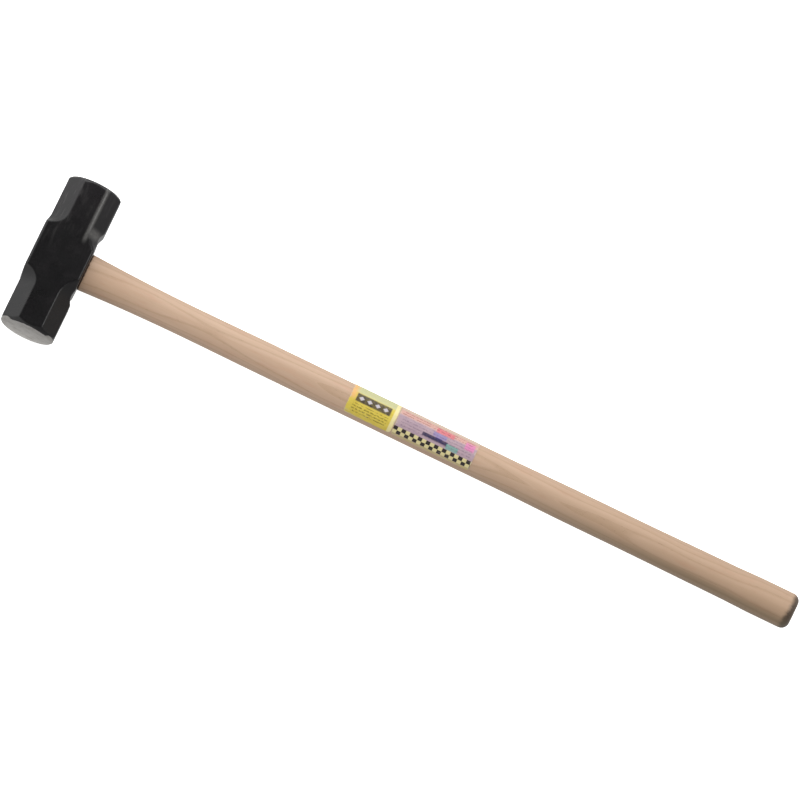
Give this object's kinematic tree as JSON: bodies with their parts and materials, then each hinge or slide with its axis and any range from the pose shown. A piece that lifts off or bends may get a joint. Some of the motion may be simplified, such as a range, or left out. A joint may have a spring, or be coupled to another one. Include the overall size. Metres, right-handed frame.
{
  "type": "sledgehammer",
  "caption": "Long-handled sledgehammer with a black octagonal double-faced head wedged onto a straight pale wooden handle that carries plain colour labels.",
  "frame": {"origin": "on the lower cheek of the head, straight below the crossing of the handle axis and the striking axis", "axes": "+X along the handle towards the grip end, +Y along the striking axis, +Z out of the upper cheek"},
  "size_m": [0.9144, 0.178, 0.0623],
  "materials": {
    "head_paint": "semi-gloss black paint over forged steel, ground bare on both striking faces",
    "handle_wood": "pale straight-grained wood, sanded and lightly varnished",
    "wedge_wood": "plain sawn hardwood",
    "bare_steel": "bare cut steel",
    "label_yellow_paper": "printed paper, plain yellow with dark and light bars",
    "label_banded_paper": "printed paper, lilac with a red stripe and a yellow and black chequer"
  },
  "bodies": {
    "root": {"head": "head_paint", "handle": "handle_wood", "wood_wedge": "wedge_wood", "steel_wedge_front": "bare_steel", "steel_wedge_rear": "bare_steel", "label_yellow": "label_yellow_paper", "label_banded": "label_banded_paper"}
  },
  "joints": []
}
